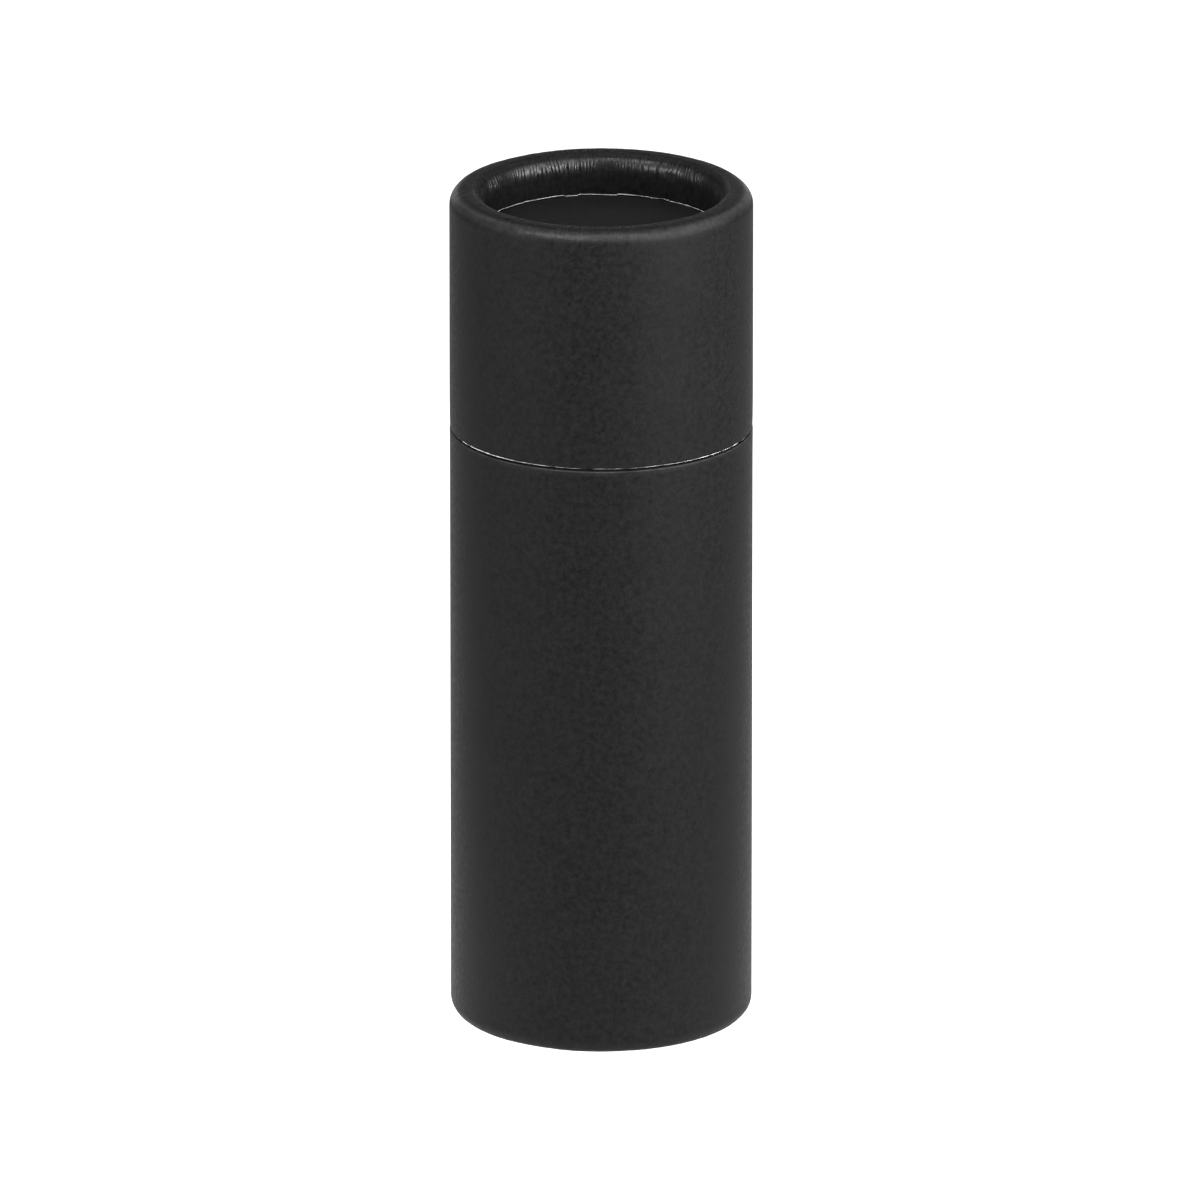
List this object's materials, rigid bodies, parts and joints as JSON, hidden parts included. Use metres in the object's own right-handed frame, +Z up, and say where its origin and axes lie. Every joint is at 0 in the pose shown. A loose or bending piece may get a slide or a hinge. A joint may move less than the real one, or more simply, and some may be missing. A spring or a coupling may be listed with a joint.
{
  "type": "gift tube box",
  "caption": "Slim cylindrical gift box in black paper with rolled rims, recessed end discs and a pull-off lid that slides over an inner neck.",
  "frame": {"origin": "centre of the rolled rim that the box stands on, at the level of the surface under it", "axes": "+Z up along the tube's axis towards the lid, -Y to the front of the picture, +Y to the lap of the paper"},
  "size_m": [0.038, 0.0382, 0.108],
  "materials": {
    "cover_paper": "matte black cover paper with a fine tooth, pressed into small pleats round the rolled rims",
    "disc_paper": "smooth matte black facing paper",
    "neck_paper": "matte black paper, lightly rubbed by the lid",
    "board": "wound grey-brown paperboard, bare at the cut edges",
    "lining_paper": "plain off-white lining paper with a spiral ply seam"
  },
  "bodies": {
    "body": {"body_cover": "cover_paper", "body_tube": "board", "body_lining": "lining_paper", "base_disc_facing": "disc_paper", "base_disc": "board", "base_disc_lining": "lining_paper", "neck_cover": "neck_paper", "neck_tube": "board", "neck_lining": "lining_paper"},
    "lid": {"lid_cover": "cover_paper", "lid_tube": "board", "lid_lining": "lining_paper", "lid_disc_facing": "disc_paper", "lid_disc": "board", "lid_disc_lining": "lining_paper"}
  },
  "joints": [
    {"name": "lid_lift", "type": "slide", "parent": "body", "child": "lid", "axis": [0, 0, 1], "range_m": [0, 0.08]}
  ]
}
